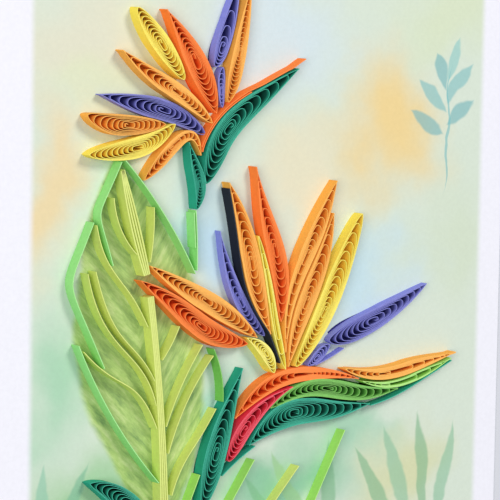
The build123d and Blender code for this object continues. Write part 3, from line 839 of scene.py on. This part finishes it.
# the long strip of the upper stem and the short one that stands against it
stemStrips = [strip("light_green_paper", (-22.3, 10.4), (-21.7, -3.9), bow=0.2),
              strip("light_green_paper", (-22.8, 9.9), (-22.25, 1.5))]
# Towards its end a strip leaves the coil by the lift, or closes up to the middle line where the
# lift is negative. The outer layer closes up to the coil where the inner one ends.
edgeStrips = {
    "bract_edge_strip": [
        dict(slot="red_orange_paper", coil="upper_bract", start=0.17, end=1.07, layer=1,
             lift=0.6, closesAt=0.6),
        dict(slot="red_orange_paper", coil="upper_bract", start=0.15, end=0.62, layer=0, lift=0)],
    "dark_edge_strip": [
        dict(slot="black_paper", coil="lower_orange_petal", start=0.97, end=-0.2, layer=0,
             lift=-0.6)],
}


# the path of a strip, moved to its right by a distance that may change along the way
def stripPath(piece, start=0.0, end=1.0, aside=lambda t: 0.0, shade=0.5):
    path = []
    for i in range(stripPaper["stations"] + 1):
        t = start + (end - start) * i / stripPaper["stations"]
        point, left = middleLine(piece, t)
        place = point - left * aside(t)
        path.append((place.x, place.y, cardTop, shade, 0.0, 0.0, 0.0))
    return path


layerPitch = stripPaper["thickness"] + stripPaper["layerGap"]


def bundlePath(bundle, layer):
    start, middle, end = bundle["spread"]
    step = layer * layerPitch

    def aside(t):
        return step * (start * (1 - t) * (1 - 2 * t) + middle * 4 * t * (1 - t)
                       + end * t * (2 * t - 1))

    return stripPath(bundle["first"], aside=aside, shade=layer / bundle["count"])


def edgePath(edge):
    piece = coils[edge["coil"]]
    start, end = edge["start"], edge["end"]
    clearance = stripPaper["edgeGap"] + stripPaper["thickness"] / 2 + edge["layer"] * layerPitch
    closing = stripPaper["closing"] * edge["layer"]

    def aside(t):
        past = min(max((t - edge.get("closesAt", end)) / stripPaper["closingShare"], 0), 1)
        along = (t - start) / (end - start)
        lift = edge["lift"] * along ** stripPaper["liftPower"] - closing * past
        return -max(halfWidth(piece, t), stripPaper["pinched"]) - clearance - lift

    return stripPath(piece, start, end, aside, stripPaper["edgeShades"][edge["layer"]])


for name, piece in strips.items():
    paperPiece(name, piece["slot"], [stripPath(piece)], stripPaper["thickness"])
print("strips stood up:", len(strips))

for name, bundle in bundles.items():
    paths = [bundlePath(bundle, layer) for layer in range(bundle["count"])]
    paperPiece(name, bundle["first"]["slot"], paths, stripPaper["bundled"])

paperPiece("upper_stem", "light_green_paper", [stripPath(piece) for piece in stemStrips],
           stripPaper["thickness"])

for name, edges in edgeStrips.items():
    paperPiece(name, edges[0]["slot"], [edgePath(edge) for edge in edges],
               stripPaper["thickness"])
print("bundles and edge strips stood up")


# Floor, light and camera

# The key stands beyond the top of the card and the fill on the side of the camera.
studio = {
    "tableReach": 1.5,  # m, from the middle of the table top to each side
    "tableColour": "D2D6DE",
    "tableRoughness": 0.7,
    "worldColour": "EEF3FF",
    "worldStrength": 0.40,
    "lamps": {
        "softWindow": dict(place=(0.65, 1.25, 1.70), size=0.7, power=26.0, colour="FFF8EE"),
        "fillPanel": dict(place=(-1.5, 0.2, 1.30), size=1.0, power=23.0, colour="FFFAF4"),
    },
}

reach = studio["tableReach"]
floorMesh = bpy.data.meshes.new("tableTop")
floorMesh.from_pydata([(-reach, -reach, 0), (reach, -reach, 0), (reach, reach, 0),
                       (-reach, reach, 0)], [], [(0, 1, 2, 3)])
floor = bpy.data.objects.new("tableTop", floorMesh)

# Painted table top: an even pale grey without a shine
paleTable = bpy.data.materials.new("paleTable")
paleTable.use_nodes = True
tableShader = paleTable.node_tree.nodes["Principled BSDF"]
tableShader.inputs["Base Color"].default_value = fromHex(studio["tableColour"])
tableShader.inputs["Roughness"].default_value = studio["tableRoughness"]
floor.data.materials.append(paleTable)
bpy.context.scene.collection.objects.link(floor)

world = bpy.data.worlds.new("studio")
world.use_nodes = True
background = world.node_tree.nodes["Background"]
background.inputs["Color"].default_value = fromHex(studio["worldColour"])
background.inputs["Strength"].default_value = studio["worldStrength"]
bpy.context.scene.world = world

for name, lamp in studio["lamps"].items():
    light = bpy.data.lights.new(name, "AREA")
    light.size = lamp["size"]
    light.energy = lamp["power"]
    light.color = fromHex(lamp["colour"])[:3]
    stand = bpy.data.objects.new(name, light)
    stand.location = lamp["place"]
    stand.rotation_euler = (-stand.location).to_track_quat("-Z", "Y").to_euler()
    bpy.context.scene.collection.objects.link(stand)

view = {
    "aim": (-5.0, 0.0, 2.0),  # mm, the point at the centre of the picture
    "distance": 700.0,  # mm
    "yaw": 37.0,  # degrees to the left of straight above
    "pitch": 6.0,  # degrees towards the top of the card
    "roll": 0.9,  # degrees
    "pixelsPerMm": 4.18,  # at the aim point, in a picture of the width given
    "pictureWidth": 500,  # pixels
    "sensor": 36.0,  # mm
    "nearest": 0.01,  # m, where the camera's view begins
}
yaw, pitch, roll = (math.radians(view[angle]) for angle in ("yaw", "pitch", "roll"))
towards = Vector((-math.sin(yaw) * math.cos(pitch), math.sin(pitch),
                  math.cos(yaw) * math.cos(pitch)))
right = (-towards).cross(Vector((0, 1, 0))).normalized()
up = right.cross(-towards)
turnedRight = right * math.cos(roll) + up * math.sin(roll)
turnedUp = up * math.cos(roll) - right * math.sin(roll)
camera = bpy.data.objects.new("camera", bpy.data.cameras.new("camera"))
camera.data.sensor_width = view["sensor"]
camera.data.lens = (view["sensor"] * view["pixelsPerMm"] * view["distance"]
                    / view["pictureWidth"])
camera.data.clip_start = view["nearest"]
place = Vector(view["aim"]) * mm + towards * view["distance"] * mm
camera.matrix_world = Matrix.Translation(place) @ Matrix(
    (turnedRight, turnedUp, towards)).transposed().to_4x4()
bpy.context.scene.collection.objects.link(camera)
bpy.context.scene.camera = camera
bpy.context.scene.view_settings.view_transform = "Standard"
print("floor, light and camera set")
